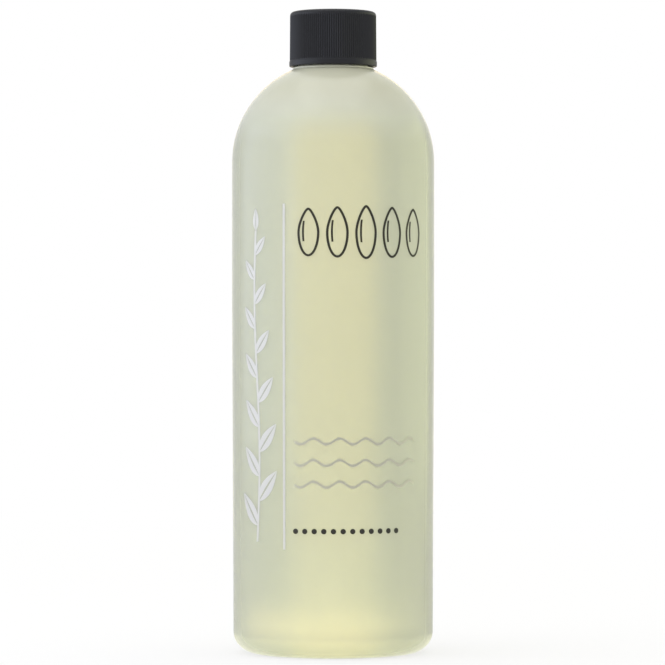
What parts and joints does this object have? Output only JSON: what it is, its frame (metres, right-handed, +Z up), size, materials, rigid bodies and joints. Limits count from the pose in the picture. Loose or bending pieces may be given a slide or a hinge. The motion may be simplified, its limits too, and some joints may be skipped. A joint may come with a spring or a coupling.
{
  "type": "nail polish remover bottle",
  "caption": "Round-shouldered translucent plastic bottle of nail polish remover, with a threaded neck, a pressed-in pouring reducer, and a ribbed screw cap with a foam liner.",
  "frame": {"origin": "on the bottle's axis, on the surface that it stands on", "axes": "+Z up along the bottle's axis, towards the cap; -Y is the printed front"},
  "size_m": [0.0636, 0.0636, 0.2014],
  "materials": {
    "bottle_plastic": "frosted natural polyethylene, blow-moulded, with a soft sheen",
    "reducer_plastic": "milky low-density polyethylene",
    "liquid": "clear pale yellow-green liquid",
    "cap_plastic": "black moulded polypropylene, satin",
    "liner_foam": "white foamed polyethylene"
  },
  "bodies": {
    "bottle": {"bottle": "bottle_plastic", "pour_reducer": "reducer_plastic", "remover_liquid": "liquid"},
    "liner": {"cap_liner": "liner_foam"},
    "cap": {"screw_cap": "cap_plastic"}
  },
  "joints": [
    {"name": "cap_rise", "type": "slide", "parent": "bottle", "child": "liner", "axis": [0, 0, 1], "range_m": [0, 0.0191]},
    {"name": "cap_turn", "type": "hinge", "parent": "liner", "child": "cap", "pos_m": [0, 0, 0.19], "axis": [0, 0, 1], "range_deg": [0, 2160]}
  ],
  "couplings": [
    {"joint": "cap_rise", "follows": "cap_turn", "m_per_rad": 0.00050532}
  ]
}
